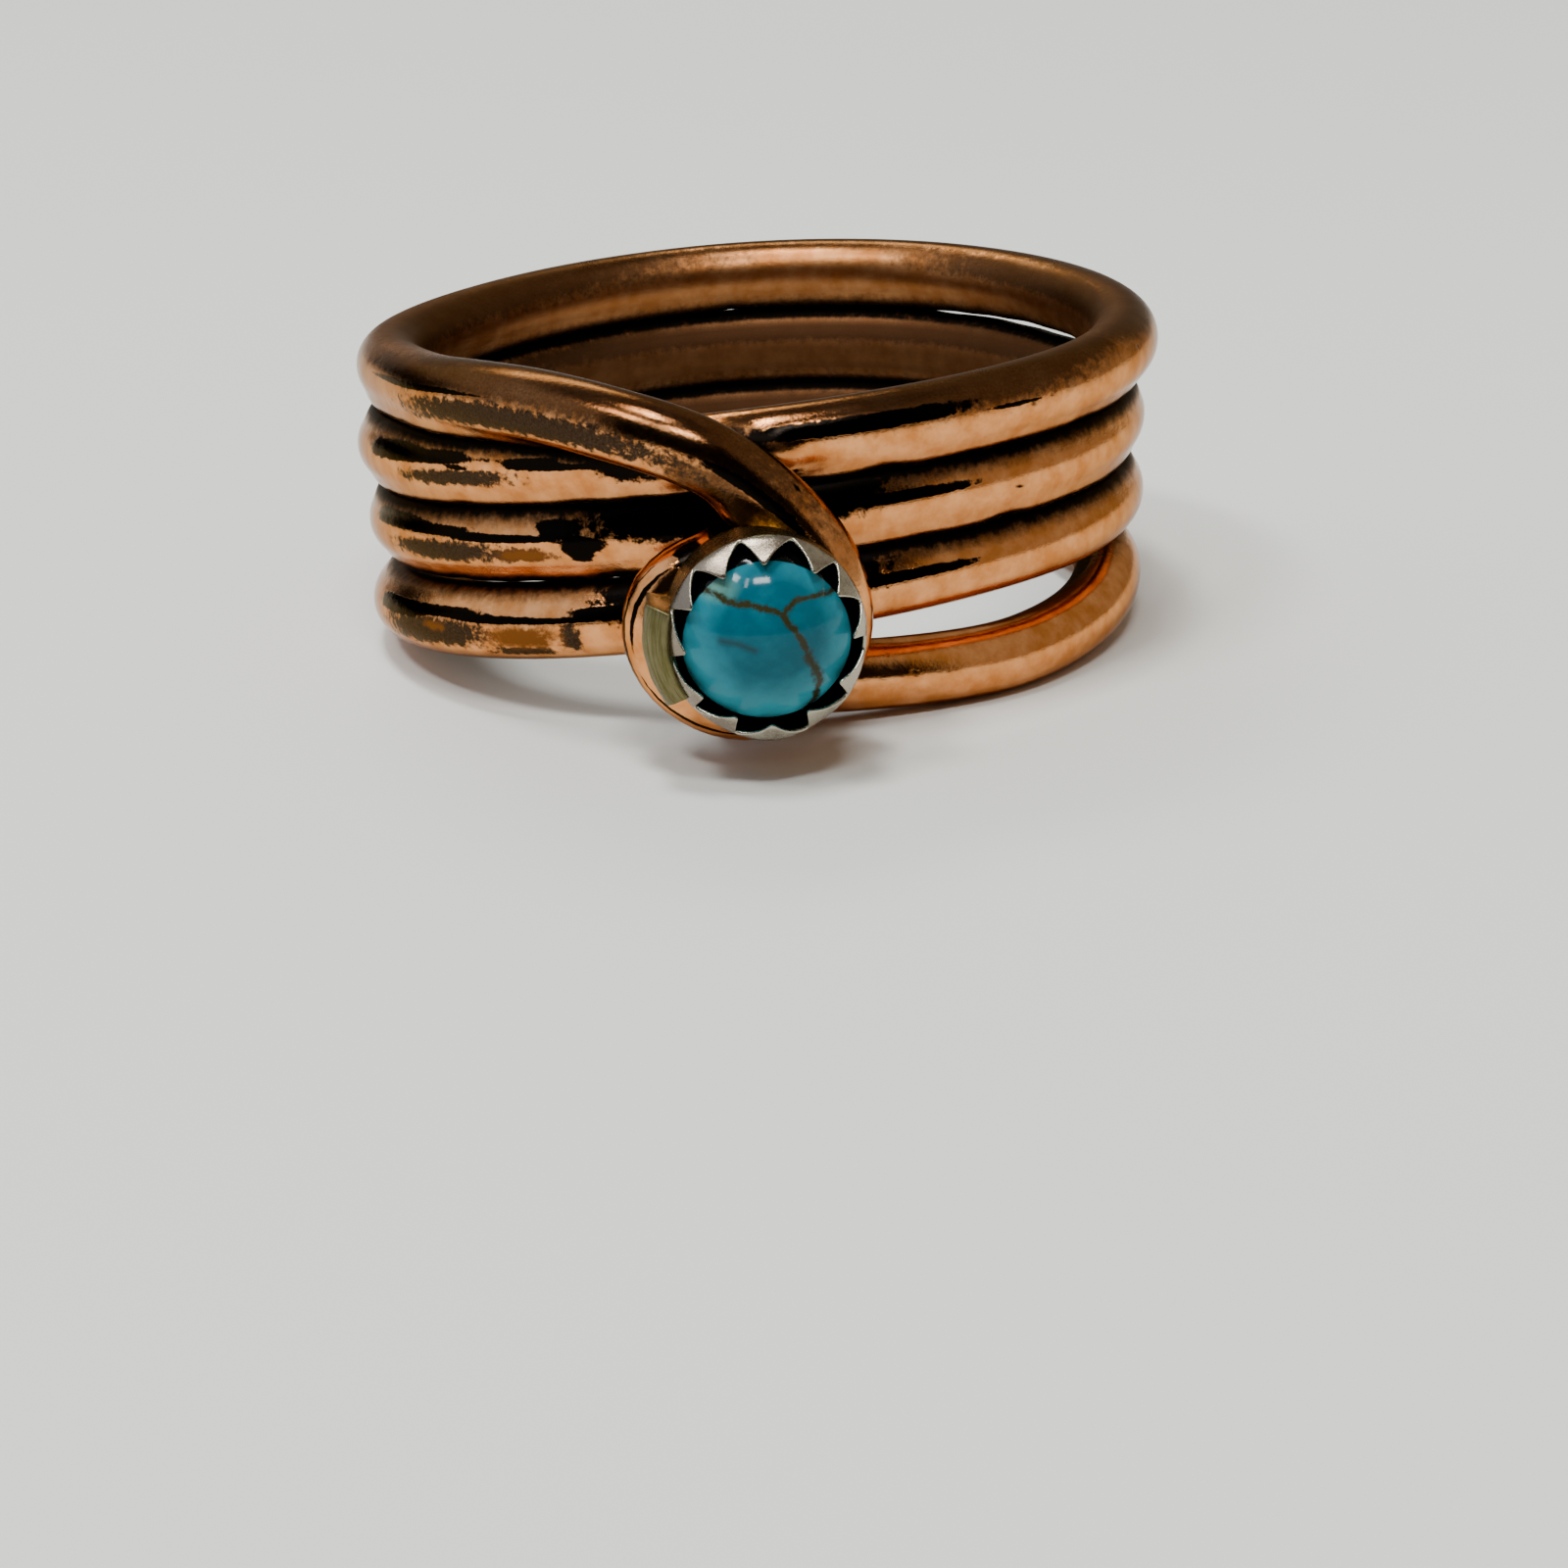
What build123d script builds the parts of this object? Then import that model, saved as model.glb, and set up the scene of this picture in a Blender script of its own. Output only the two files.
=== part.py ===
"""A coil ring: one round wire wound into four turns, its upper end brought over the
front of the turns and curled into a loop that carries a serrated bezel cup with a
round domed stone.

Millimetres, +Z up. The ring is worked out in the coil's own frame, with the coil's axis
along Z and its front at -Y. It is then laid on its side as it rests on a table, with
the origin at the middle of its footprint.
"""

from build123d import *
from math import atan2, cos, degrees, pi, radians, sin, tan
import os

os.makedirs("parts", exist_ok=True)

# Wire and coil
wire_diameter = 1.8
coil_radius = 9.85  # to the middle of the wire
coil_turns = 4
front_gap = 0.16  # clear gap between one turn and the next, at the front
back_gap = 0.32  # and at the back, where light shows between them
side_height = 0.97  # every turn stands this much higher at the right
saddle_height = 0.20  # front and back of a turn stand up by this, its sides sink by it
points_per_turn = 12
first_angle = 90  # the crossing takes over from the coil at the left side
end_angle = 6  # by which the last turn's cut end goes past the front

# Hand-wound unevenness, in wire diameters: how far the wire sags below an even coil
sag_table = [
    # turn angle from the cut end of the last turn, sag
    (-400, 0.00),
    (-330, 0.12),
    (-296, 0.12),
    (-196, 0.00),
    (-111, 0.00),
    (-46, 0.50),
    (0, 0.035),
]

# and how much smaller its turns are than the first
inset_table = [
    # turn angle, inset
    (90, 0.00),
    (450, 0.03),
    (630, 0.18),
    (990, 0.165),
    (1170, 0.20),
    (1350, 0.17),
]

# Loop that the upper end is curled into, in front of the turns
loop_hole_radius = 1.25
loop_clearance = 0.10  # between the loop and the turns behind it
loop_offset = -0.22  # its middle, to the right of the coil's axis
loop_depth = 4.08  # and below the left side of the first turn

# The loop's turn, anticlockwise from the right: how many wire diameters it is wider
# than the loop's own radius. The wire's cut end is tucked in, and its way out swings up.
loop_table = [
    # angle around the loop, wider by
    (118, -0.50),
    (150, -0.22),
    (184, -0.02),
    (222, 0.00),
    (263, 0.00),
    (305, 0.00),
    (350, 0.00),
    (395, 0.00),
    (425, 0.15),
    (452, 0.60),
    (468, 1.11),
]

# The crossing, from there to the left side of the first turn: shares of the way from the
# loop's middle
crossing_table = [
    # left, back, up
    (0.302, 0.045, 1.104),
    (0.511, 0.164, 1.166),
    (0.683, 0.304, 1.149),
    (0.844, 0.508, 1.082),
]

# Bezel cup, soldered on the loop
cup_radius = 2.32
cup_wall = 0.22
floor_cover = 0.05  # of its floor over the wire on the right, where it sits deepest
cup_wall_height = 1.70  # to where the teeth begin to lean in
tooth_height = 0.45
tooth_overhang = 0.34  # how far the teeth lean in over the stone
tooth_count = 12
tooth_tip_width = 0.16
notch_depth = 0.10  # of the notches' roots below where the teeth begin
solder_depth = 0.10  # how deep the cup's left edge, its shallowest, sits in the loop
facing_angle = 6  # by which the cup faces to the right
cup_offset = 0.31  # to the right of the loop's middle
cup_lift_height = 0.08

# Filed lap of the bezel strip on the wall's left side
lap_first_angle = 158
lap_last_angle = 211
lap_base_width = 0.48  # how far it stands out at the loop
lap_rim_width = 0.12  # and at its top
lap_rim_height = 0.10  # of its top above where the teeth begin

# Stone
stone_gap = 0.03
girdle_depth = 0.42  # from where the teeth begin down to where the dome begins
stone_dome_height = 1.30
shoulder_radius = 0.70  # of the dome's rounded edge; its crown is a larger arc

# How the coil leans as it lies, balanced on the left back and right front of its last turn
back_angle = 3.3
right_angle = 2.5


wire_radius = wire_diameter / 2
front_pitch = wire_diameter + front_gap
back_pitch = wire_diameter + back_gap
coil_step = 360 / points_per_turn
last_angle = 360 * coil_turns + end_angle
loop_radius = loop_hole_radius + wire_radius
loop_step = 45
run_share = 0.45  # of the shorter run beside a bend that its arc may take up
facing = radians(facing_angle)
cup_sink = solder_depth + cup_radius * sin(facing)
cup_floor = cup_sink + cup_radius * sin(facing) + floor_cover
cup_height = cup_wall_height + tooth_height
rim_slope = atan2(tooth_height, tooth_overhang)
rim_run = sin(rim_slope)
rim_rise = cos(rim_slope)
tooth_pitch = 360 / tooth_count
notch_half_width = (cup_radius - tooth_overhang) * sin(radians(tooth_pitch / 2)) - tooth_tip_width / 2
stone_radius = cup_radius - cup_wall - stone_gap
stone_seat = cup_floor + stone_gap
stone_girdle = cup_wall_height - girdle_depth
shoulder_middle = stone_radius - shoulder_radius
crown_radius = (shoulder_middle**2 + stone_dome_height**2 - shoulder_radius**2) / (
    2 * (stone_dome_height - shoulder_radius)
)
crown_middle = stone_girdle + stone_dome_height - crown_radius
shoulder_arc = degrees(atan2(crown_radius - stone_dome_height, shoulder_middle))


def eased(table, angle):
    """Value at a turn angle, eased in and out between the rows of a table."""
    for (angle_a, value_a), (angle_b, value_b) in zip(table, table[1:]):
        if angle_a <= angle <= angle_b:
            share = (angle - angle_a) / (angle_b - angle_a)
            return value_a + (value_b - value_a) * share * share * (3 - 2 * share)
    return table[0][1] if angle < table[0][0] else table[-1][1]


def corner_reach(step):
    """How much further out a corner stands than the rounded wire that turns there."""
    half = radians(step / 2)
    arc_radius = run_share * 2 * sin(half) / tan(half)
    inner = 1 - arc_radius * (1 / cos(half) - 1)
    return 2 / (inner + cos(half))


def coil_point(angle, reach=1):
    """Middle of the wire at a turn angle: 0 degrees is the front, 90 the left, 180 the back."""
    turn = radians(angle)
    out = (coil_radius - wire_diameter * eased(inset_table, angle)) * reach
    pitch = (front_pitch + back_pitch) / 2 - (back_pitch - front_pitch) / 2 * cos(turn)
    height = pitch * (coil_turns / 2 - angle / 360)
    height += saddle_height * cos(2 * turn) - side_height * sin(turn)
    height -= wire_diameter * eased(sag_table, angle - last_angle)
    return Vector(-out * sin(turn), -out * cos(turn), height)


def bend_radii(points):
    """Radius of the arc at each inner corner of a path."""
    radii = []
    for before, corner, after in zip(points, points[1:], points[2:]):
        run_in = corner - before
        run_out = after - corner
        half = radians(run_in.get_angle(run_out) / 2)
        radii.append(run_share * min(run_in.length, run_out.length) / tan(half))
    return radii


# Corners of the wire's path: the loop, the crossing and the coil
coil_reach = corner_reach(coil_step)
loop_reach = corner_reach(loop_step)
coil_left = coil_point(first_angle)
loop_middle = Vector(loop_offset, -coil_radius - wire_diameter - loop_clearance, coil_left.Z - loop_depth)
wire_points = []
for angle, wider in loop_table:
    turn = radians(angle)
    out = loop_radius * loop_reach + wider * wire_diameter
    wire_points.append(loop_middle + Vector(out * cos(turn), 0, out * sin(turn)))
for left, back, up in crossing_table:
    way = coil_left - loop_middle
    wire_points.append(loop_middle + Vector(left * way.X, back * way.Y, up * way.Z))
for step in range(round((360 * coil_turns - first_angle) / coil_step)):
    wire_points.append(coil_point(first_angle + step * coil_step, coil_reach))
wire_points.append(coil_point(last_angle))
wire_bends = bend_radii(wire_points)

# The cup's own plane: its Z is the way the cup faces, forward and a little to the right
cup_plane = Plane(
    origin=loop_middle + Vector(cup_offset, cup_sink - wire_radius, cup_lift_height),
    x_dir=(cos(facing), sin(facing), 0),
    z_dir=(sin(facing), -cos(facing), 0),
)
cup_axis = Axis(cup_plane.origin, cup_plane.z_dir)


def cup_outward(angle):
    """Direction square to the cup's axis, at an angle anticlockwise from the cup's right."""
    turn = radians(angle)
    return cup_plane.x_dir * cos(turn) + cup_plane.y_dir * sin(turn)


def cup_section(angle):
    """Plane that holds the cup's axis as its Y and the outward direction as its X."""
    outward = cup_outward(angle)
    return Plane(origin=cup_plane.origin, x_dir=outward, z_dir=outward.cross(cup_plane.z_dir))


def cup_side(angle):
    """Plane through the cup's axis that looks outward, with the axis as its Y."""
    outward = cup_outward(angle)
    return Plane(origin=cup_plane.origin, x_dir=cup_plane.z_dir.cross(outward), z_dir=outward)


with BuildPart() as coil_ring:
    # The wire
    with BuildLine():
        wire_line = FilletPolyline(*wire_points, radius=wire_bends)
    with BuildSketch(Plane(origin=wire_line @ 0, z_dir=wire_line % 0)):
        Circle(wire_radius)
    sweep()
    wire_share = coil_ring.part.volume / (pi * wire_radius**2 * wire_line.length)

    # The cup's floor, wall and leaning rim
    with BuildSketch(cup_section(0)):
        with BuildLine():
            Polyline(
                (0, 0),
                (cup_radius, 0),
                (cup_radius, cup_wall_height),
                (cup_radius - tooth_overhang, cup_height),
                (cup_radius - tooth_overhang - cup_wall * rim_run, cup_height - cup_wall * rim_rise),
                (cup_radius - cup_wall, cup_wall_height - cup_wall * rim_rise / 2),
                (cup_radius - cup_wall, cup_floor),
                (0, cup_floor),
                close=True,
            )
        make_face()
    revolve(axis=cup_axis)

    # The filed lap on the wall's left side
    with BuildSketch(cup_section(lap_first_angle)):
        with BuildLine():
            Polyline(
                (cup_radius - cup_wall / 2, 0),
                (cup_radius + lap_base_width, 0),
                (cup_radius + lap_rim_width, cup_wall_height + lap_rim_height),
                (cup_radius - cup_wall / 2, cup_wall_height - cup_wall / 2),
                close=True,
            )
        make_face()
    revolve(axis=cup_axis, revolution_arc=lap_last_angle - lap_first_angle)

    # Notches between the teeth
    for index in range(tooth_count):
        with BuildSketch(cup_side((index + 0.5) * tooth_pitch)):
            with BuildLine():
                Polyline(
                    (0, cup_wall_height - notch_depth),
                    (notch_half_width, cup_height),
                    (notch_half_width, cup_height + cup_wall),
                    (-notch_half_width, cup_height + cup_wall),
                    (-notch_half_width, cup_height),
                    close=True,
                )
            make_face()
        extrude(amount=cup_radius + lap_base_width, mode=Mode.SUBTRACT)
coil_ring.part.label = "coil_ring"

with BuildPart() as turquoise_stone:
    with BuildSketch(cup_section(0)):
        with BuildLine():
            Polyline(
                (0, stone_girdle + stone_dome_height),
                (0, stone_seat),
                (stone_radius, stone_seat),
                (stone_radius, stone_girdle),
            )
            CenterArc((shoulder_middle, stone_girdle), shoulder_radius, 0, shoulder_arc)
            CenterArc((0, crown_middle), crown_radius, shoulder_arc, 90 - shoulder_arc)
        make_face()
    revolve(axis=cup_axis)
turquoise_stone.part.label = "turquoise_stone"

# Leaned as it lies, with the origin at the middle of the footprint
pieces = [coil_ring.part, turquoise_stone.part]
for piece in pieces:
    piece.move(Rotation(-back_angle, right_angle, 0))
box = pieces[0].bounding_box().add(pieces[1].bounding_box())
for piece in pieces:
    piece.move(Location((-box.center().X, -box.center().Y, -box.min.Z)))
    export_step(piece, f"parts/{piece.label}.step")
    box_now = piece.bounding_box()
    print(piece.label, len(piece.solids()), "solids", [round(v, 3) for v in (*box_now.min, *box_now.max)])

print("bend radii", [round(radius, 2) for radius in wire_bends])
print("wire length", round(wire_line.length, 2), "volume over section times length", round(wire_share, 4))
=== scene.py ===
"""Looks of a coil ring: a copper wire wound in four turns, with a small turquoise in a
silver bezel cup on a curled loop at its front.

The ring is worked out in the coil's own frame, with the coil's axis along Z and its front
at -Y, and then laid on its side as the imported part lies.
"""

from math import atan2, cos, degrees, hypot, pi, radians, sin

import bmesh
import bpy
from bpy.props import FloatProperty, FloatVectorProperty, IntProperty, PointerProperty
from mathutils import Matrix, Vector, kdtree, noise


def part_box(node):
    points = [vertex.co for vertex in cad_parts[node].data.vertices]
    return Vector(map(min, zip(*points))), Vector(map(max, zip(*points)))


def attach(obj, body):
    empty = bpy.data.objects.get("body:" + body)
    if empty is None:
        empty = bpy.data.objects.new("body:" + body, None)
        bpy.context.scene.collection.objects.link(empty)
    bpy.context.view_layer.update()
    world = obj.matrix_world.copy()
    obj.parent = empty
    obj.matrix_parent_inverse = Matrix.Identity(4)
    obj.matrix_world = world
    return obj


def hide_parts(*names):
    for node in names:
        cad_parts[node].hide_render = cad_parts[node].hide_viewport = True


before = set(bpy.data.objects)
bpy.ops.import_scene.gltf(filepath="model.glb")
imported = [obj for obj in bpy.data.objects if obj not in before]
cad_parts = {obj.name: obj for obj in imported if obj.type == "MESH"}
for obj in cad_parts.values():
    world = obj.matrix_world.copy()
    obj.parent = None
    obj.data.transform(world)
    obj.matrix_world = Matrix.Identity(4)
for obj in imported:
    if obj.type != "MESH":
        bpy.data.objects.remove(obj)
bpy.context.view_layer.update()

bl_info = {
    "name": "Coil ring",
    "version": (1, 0, 0),
    "blender": (4, 5, 0),
    "location": "3D View > Sidebar > Ring",
    "description": "Copper coil ring with a turquoise in a serrated bezel cup",
    "category": "Add Mesh",
}

MM = 0.001
ROUNDING = 1e-12
IMAGE_SIDE = 1600
SENSOR_WIDTH = 36

# Seeds of the noise that ruffles the lap and lets the stone's veins waver
RUFFLE_SEED = 5
WAVER_SEED = 8

# Hand-wound unevenness, in wire diameters: how far the wire sags below an even coil
SAG = [
    # degrees from the cut end of the last turn, sag
    (-400, 0.00),
    (-330, 0.12),
    (-296, 0.12),
    (-196, 0.00),
    (-111, 0.00),
    (-46, 0.50),
    (0, 0.035),
]

# and how much smaller its turns are than the first
INSET = [
    # turn angle, inset
    (90, 0.00),
    (450, 0.03),
    (630, 0.18),
    (990, 0.165),
    (1170, 0.20),
    (1350, 0.17),
]

# The loop: how many wire diameters it is wider than the loop's own radius
LOOP = [
    # angle around the loop, wider by
    (118, -0.50),
    (150, -0.22),
    (184, -0.02),
    (222, 0.00),
    (263, 0.00),
    (305, 0.00),
    (350, 0.00),
    (395, 0.00),
    (425, 0.15),
    (452, 0.60),
    (468, 1.11),
]

# The crossing: shares of the way from the loop's middle to the left side of the first turn
CROSSING = [
    # left, back, up
    (0.302, 0.045, 1.104),
    (0.511, 0.164, 1.166),
    (0.683, 0.304, 1.149),
    (0.844, 0.508, 1.082),
]

# Marks on the wire, as they lie on the real one. Places are mm along the wire from the
# loop's tucked end, and degrees round its section from the outside up over the top.
# Black patina that the polishing wheel missed, with painted dark reflections and painted shade
PATINA_AND_SHADE_MARKS = [
    # from mm, to mm, from degrees, to degrees
    (19.8, 26.1, 9, 20),
    # painted dark reflection: black wedges at the tops of the left turns, where they mirror the
    # dark room in front
    (85.0, 88.2, 4, 38),
    (83.2, 86.4, 6, 28),
    (81.6, 84.0, 8, 14),
    (146.2, 149.4, 14, 42),
    (144.2, 147.4, 12, 30),
    (142.2, 145.2, 11, 18),
    (206.4, 209.6, 8, 38),
    (204.2, 207.4, 16, 36),
    (202.4, 205.2, 11, 22),
    (200.8, 202.8, 12, 20),
    (199.4, 201.6, 12, 34),
    (11.0, 14.2, -4, 14),
    (83.4, 84.1, -2, 6),
    (79.4, 82.2, -6, 3),
    (80.6, 82.4, -2, 16),
    (77.9, 79.9, -30, 60),
    (141.6, 144.8, 4, 13),
    (141.2, 142.3, 8, 40),
    (140.6, 141.7, -18, 12),
    (140.9, 141.5, -33, -10),
    (200.6, 204.6, 8, 17),
    # painted dark reflection: the black band where this turn beside the loop mirrors the dark room
    # in front
    (71.0, 76.4, 8, 36),
    (69.0, 70.6, 2, 9),
    # painted shade of the loop and bezel on the turns beside them
    (131.7, 135.0, 9, 27),
    (133.9, 141.0, -8, 95),
    (191.8, 195.2, 9, 27),
    (194.0, 201.0, -6, 95),
    (251.6, 257.4, 106, 140),
    (240.0, 252.4, 108, 150),
    (1.2, 3.2, 52, 58),
    (0.2, 0.7, 20, 70),
    (0.9, 2.6, 28, 38),
    (3.0, 5.4, 37, 46),
]

# Grey-brown oxide film, mottled
FILM_MARKS = [
    # from mm, to mm, from degrees, to degrees
    (14.4, 23.4, -40, 6),
    (82.1, 86.1, -30, -3),
    (143.4, 147.7, -30, 4),
    (142.0, 143.8, -28, -6),
    (204.0, 208.6, -34, 14),
    (201.4, 201.9, -44, 12),
    (202.2, 204.2, -50, -30),
]

# Amber stain, where the flame ran over the oxide
AMBER_MARKS = [
    # from mm, to mm, from degrees, to degrees
    (202.0, 204.0, -32, 6),
    (142.0, 143.5, -27, -8),
    (205.6, 206.5, -6, 8),
    (22.8, 26.4, 26, 60),
]

# Dark brown on the coil's top: oxide film where no wheel reached, and painted dark reflection of
# the room
BROWN_MARKS = [
    # from mm, to mm, from degrees, to degrees
    (11.0, 24.4, 6, 108),
    (24.0, 44.0, 58, 175),
    (40.0, 64.0, 40, 126),
    (50.5, 64.0, 116, 175),
    (97.0, 124.0, 112, 166),
    (158.0, 186.0, 112, 166),
    (58.0, 66.0, 34, 140),
    (65.0, 69.8, 34, 140),
    (66.0, 76.9, 10, 140),
    (240.0, 257.4, 100, 170),
    (12.0, 14.8, -62, 2),
]

# Where that film is dull, too, and mirrors nothing
DULL_MARKS = [
    # from mm, to mm, from degrees, to degrees
    (20.0, 42.6, 26, 175),
    (53.5, 72.4, 36, 175),
]

# Values that each point of the wire gets: from the tables above, and from its place
MARKS = {
    "patina_and_shade": PATINA_AND_SHADE_MARKS,
    "film": FILM_MARKS,
    "amber": AMBER_MARKS,
    "brown": BROWN_MARKS,
}
WIRE_VALUES = ("dull_and_shade", "groove", "pit")

# Where the first turn ends, in mm along the wire
FIRST_TURN_END = 92

# Crust of black patina and painted shade that closes the gaps between turns where no light shows
CRUST = [
    # turn angle within a turn, share of the gap
    (0, 0.98),
    (100, 1.20),
    (195, 1.20),
    (215, 0.90),
    (240, 0.60),
    (262, 0.70),
    (300, 1.00),
    (330, 0.98),
]

# Small pits
PITS = [
    # mm, degrees, radius in mm
    (253.9, 45, 0.07),
    (253.3, 12, 0.10),
    (252.5, 14, 0.07),
    (12.0, 55, 0.09),
    (69.4, 2, 0.12),
    (68.8, 8, 0.10),
    (64.4, 28, 0.13),
    (63.8, 40, 0.10),
    (130.5, -6, 0.06),
    (191.0, -8, 0.06),
    (85.1, 44, 0.05),
]

# Teeth of the bezel, anticlockwise from the cup's right, as the file left them
TEETH = [
    # degrees of the notch before the tooth and of its tip, mm from the middle to the tip
    (-10, 1, 2.00),
    (19, 33, 1.93),
    (47, 57, 1.92),
    (76, 94, 1.84),
    (106, 125, 1.86),
    (137, 156, 2.00),
    (163, 187, 2.00),
    (191, 220, 2.06),
    (224, 247, 2.02),
    (252, 272, 2.08),
    (293, 298, 1.98),
    (322, 328, 1.99),
]

# How far the strip's rim was pushed out beyond the cup's radius
FLARE = [
    # angle from the cup's right, mm
    (0, 0.06),
    (90, 0.10),
    (180, 0.05),
    (235, 0.14),
    (272, 0.26),
    (315, 0.15),
    (360, 0.06),
]

# Rings of the strip's mesh, and how far its rim's middle stands up
STRIP_SEGMENTS = 300
WALL_ROWS = 8
TOOTH_ROWS = 8
RIM_ROWS = 3
INNER_ROWS = 10
RIM_ROUNDING = 0.02 * MM

# The lap: its two ends in degrees from the cup's right, its edges' bevel and its ruffle
LAP_START = 165
LAP_END = 217
LAP_STEPS = 26
LAP_EDGE = 0.035 * MM
RUFFLE = 0.035 * MM

# Veins of the matrix in the turquoise, in shares of the stone's radius from its middle
VEINS = [
    # half width in mm, then points right and up
    (
        0.085,
        [(-0.80, 0.58), (-0.69, 0.56), (-0.52, 0.49), (-0.24, 0.45), (0.04, 0.38), (0.15, 0.33)],
    ),
    (0.065, [(0.15, 0.33), (0.30, 0.49), (0.52, 0.51), (0.80, 0.52)]),
    (0.085, [(0.15, 0.33), (0.28, 0.14), (0.42, -0.14)]),
    (0.125, [(0.42, -0.14), (0.53, -0.34), (0.57, -0.50)]),
    (0.075, [(0.57, -0.50), (0.56, -0.70), (0.44, -0.88)]),
]

# The dark dash left of the veins, and half its width in mm
DASH = [(-0.56, 0.03), (-0.38, 0.01), (-0.19, -0.06)]
DASH_HALF_WIDTH = 0.13

# Values that each point of the stone gets, for its colours
STONE_MARKS = ("vein", "dash", "lime_sheen", "pale", "crevice_dirt_and_shade")


def linear(hex_colour):
    """An sRGB hex colour as linear RGBA."""
    values = [int(hex_colour[i : i + 2], 16) / 255 for i in (1, 3, 5)]
    colour = [v / 12.92 if v <= 0.04045 else ((v + 0.055) / 1.055) ** 2.4 for v in values]
    return (*colour, 1.0)


def length_prop(name, description, mm):
    return FloatProperty(
        name=name, description=description, default=mm * MM, min=0, unit="LENGTH", precision=5
    )


def angle_prop(name, description, turn):
    return FloatProperty(
        name=name, description=description, default=radians(turn), subtype="ANGLE"
    )


def colour_prop(name, description, hex_colour):
    return FloatVectorProperty(
        name=name, description=description, default=linear(hex_colour), subtype="COLOR", size=4
    )


class WireSettings(bpy.types.PropertyGroup):
    """Sizes and colours of the copper wire"""

    wire_diameter: length_prop("Wire diameter", "Thickness of the round wire", 1.8)
    coil_radius: length_prop("Coil radius", "From the coil's axis to the middle of the wire", 9.85)
    coil_turns: IntProperty(name="Turns", description="Turns of the coil", default=4, min=2)
    front_gap: length_prop("Front gap", "Clear gap between turns at the front", 0.16)
    back_gap: length_prop("Back gap", "Clear gap between turns at the back", 0.32)
    side_height: length_prop("Side height", "How much higher each turn stands at the right", 0.97)
    saddle_height: length_prop("Saddle height", "Front and back of a turn stand up by this", 0.20)
    end_angle: angle_prop("End angle", "How far the last turn's end goes past the front", 6)
    loop_hole_radius: length_prop("Loop hole radius", "Clear radius inside the curled loop", 1.25)
    loop_clearance: length_prop("Loop clearance", "Between the loop and the turns behind it", 0.10)
    loop_offset: FloatProperty(
        name="Loop offset",
        description="Loop to the right of the coil's axis",
        default=-0.22 * MM,
        unit="LENGTH",
    )
    loop_depth: length_prop("Loop depth", "Loop below the left side of the first turn", 4.08)
    back_angle: angle_prop("Back lean", "How far the coil leans back as it lies", 3.3)
    right_angle: angle_prop("Right lean", "How far the coil leans to the right as it lies", 2.5)
    ring_step: length_prop("Ring step", "Spacing of the mesh's rings along the wire", 0.30)
    sides: IntProperty(
        name="Sides", description="Sides of the wire's round section", default=52, min=12
    )
    copper: colour_prop("Copper", "Polished copper", "#E8A065")
    copper_deep: colour_prop("Deep copper", "Copper under its first thin oxide", "#C97D40")
    brown: colour_prop("Brown film", "Brown oxide film", "#3E2818")
    film: colour_prop("Grey film", "Grey-brown oxide", "#423326")
    amber: colour_prop("Amber stain", "Amber flame stain", "#6E401B")
    # near black of the patina, also used for painted shade and painted dark reflection
    patina_and_shade: colour_prop("Patina", "Black patina in the recesses", "#0C0907")


class CupSettings(bpy.types.PropertyGroup):
    """Sizes and colours of the silver bezel cup"""

    cup_radius: length_prop("Cup radius", "Outer radius of the bezel cup", 2.32)
    cup_wall: length_prop("Wall", "Thickness of the bezel's strip", 0.22)
    wall_height: length_prop("Wall height", "To where the teeth begin to lean in", 1.70)
    tooth_height: length_prop("Tooth height", "Height of the leaning teeth", 0.45)
    notch_depth: length_prop("Notch depth", "Notch roots below where the teeth begin", 0.10)
    solder_depth: length_prop("Solder depth", "How deep the cup's left edge sits in the loop", 0.10)
    facing_angle: angle_prop("Facing angle", "How far the cup faces to the right", 6)
    cup_offset: length_prop("Cup offset", "To the right of the loop's middle", 0.31)
    cup_lift: length_prop("Cup lift", "Above the loop's middle", 0.08)
    lap_base_width: length_prop("Lap base width", "How far the lap stands out at the loop", 0.48)
    lap_rim_width: length_prop("Lap rim width", "How far the lap stands out at its top", 0.12)
    lap_rim_height: length_prop("Lap rim height", "Top of the lap over where the teeth begin", 0.10)
    silver: colour_prop("Silver", "Bright filed silver", "#ABA593")
    silver_grey: colour_prop("Grey silver", "Silver with a thin grey tarnish", "#85796A")
    olive: colour_prop("Olive tarnish", "Olive tarnish on the wall", "#5C5630")
    lap_pale: colour_prop("Lap", "Pale yellow of the filed solder", "#746C4C")


class StoneSettings(bpy.types.PropertyGroup):
    """Sizes and colours of the turquoise"""

    stone_gap: length_prop("Stone gap", "Between the stone and the bezel", 0.03)
    floor_cover: length_prop("Floor cover", "Of the cup's floor over the wire", 0.05)
    girdle_depth: length_prop("Girdle depth", "From where the teeth begin down to the dome", 0.42)
    dome_height: length_prop("Dome height", "Height of the dome over its girdle", 1.30)
    shoulder_radius: length_prop("Shoulder radius", "Of the dome's rounded edge", 0.70)
    turquoise: colour_prop("Turquoise", "Main colour of the stone", "#045160")
    turquoise_pale: colour_prop("Pale turquoise", "Towards the stone's edge", "#3AA5B6")
    matrix: colour_prop("Matrix", "Olive-brown veins", "#2F2C17")
    # the pale greenish colour of a painted soft reflection at the stone's upper left
    lime_sheen: colour_prop("Lime patch", "Greenish tan patch beside a vein", "#7FA98A")


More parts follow.
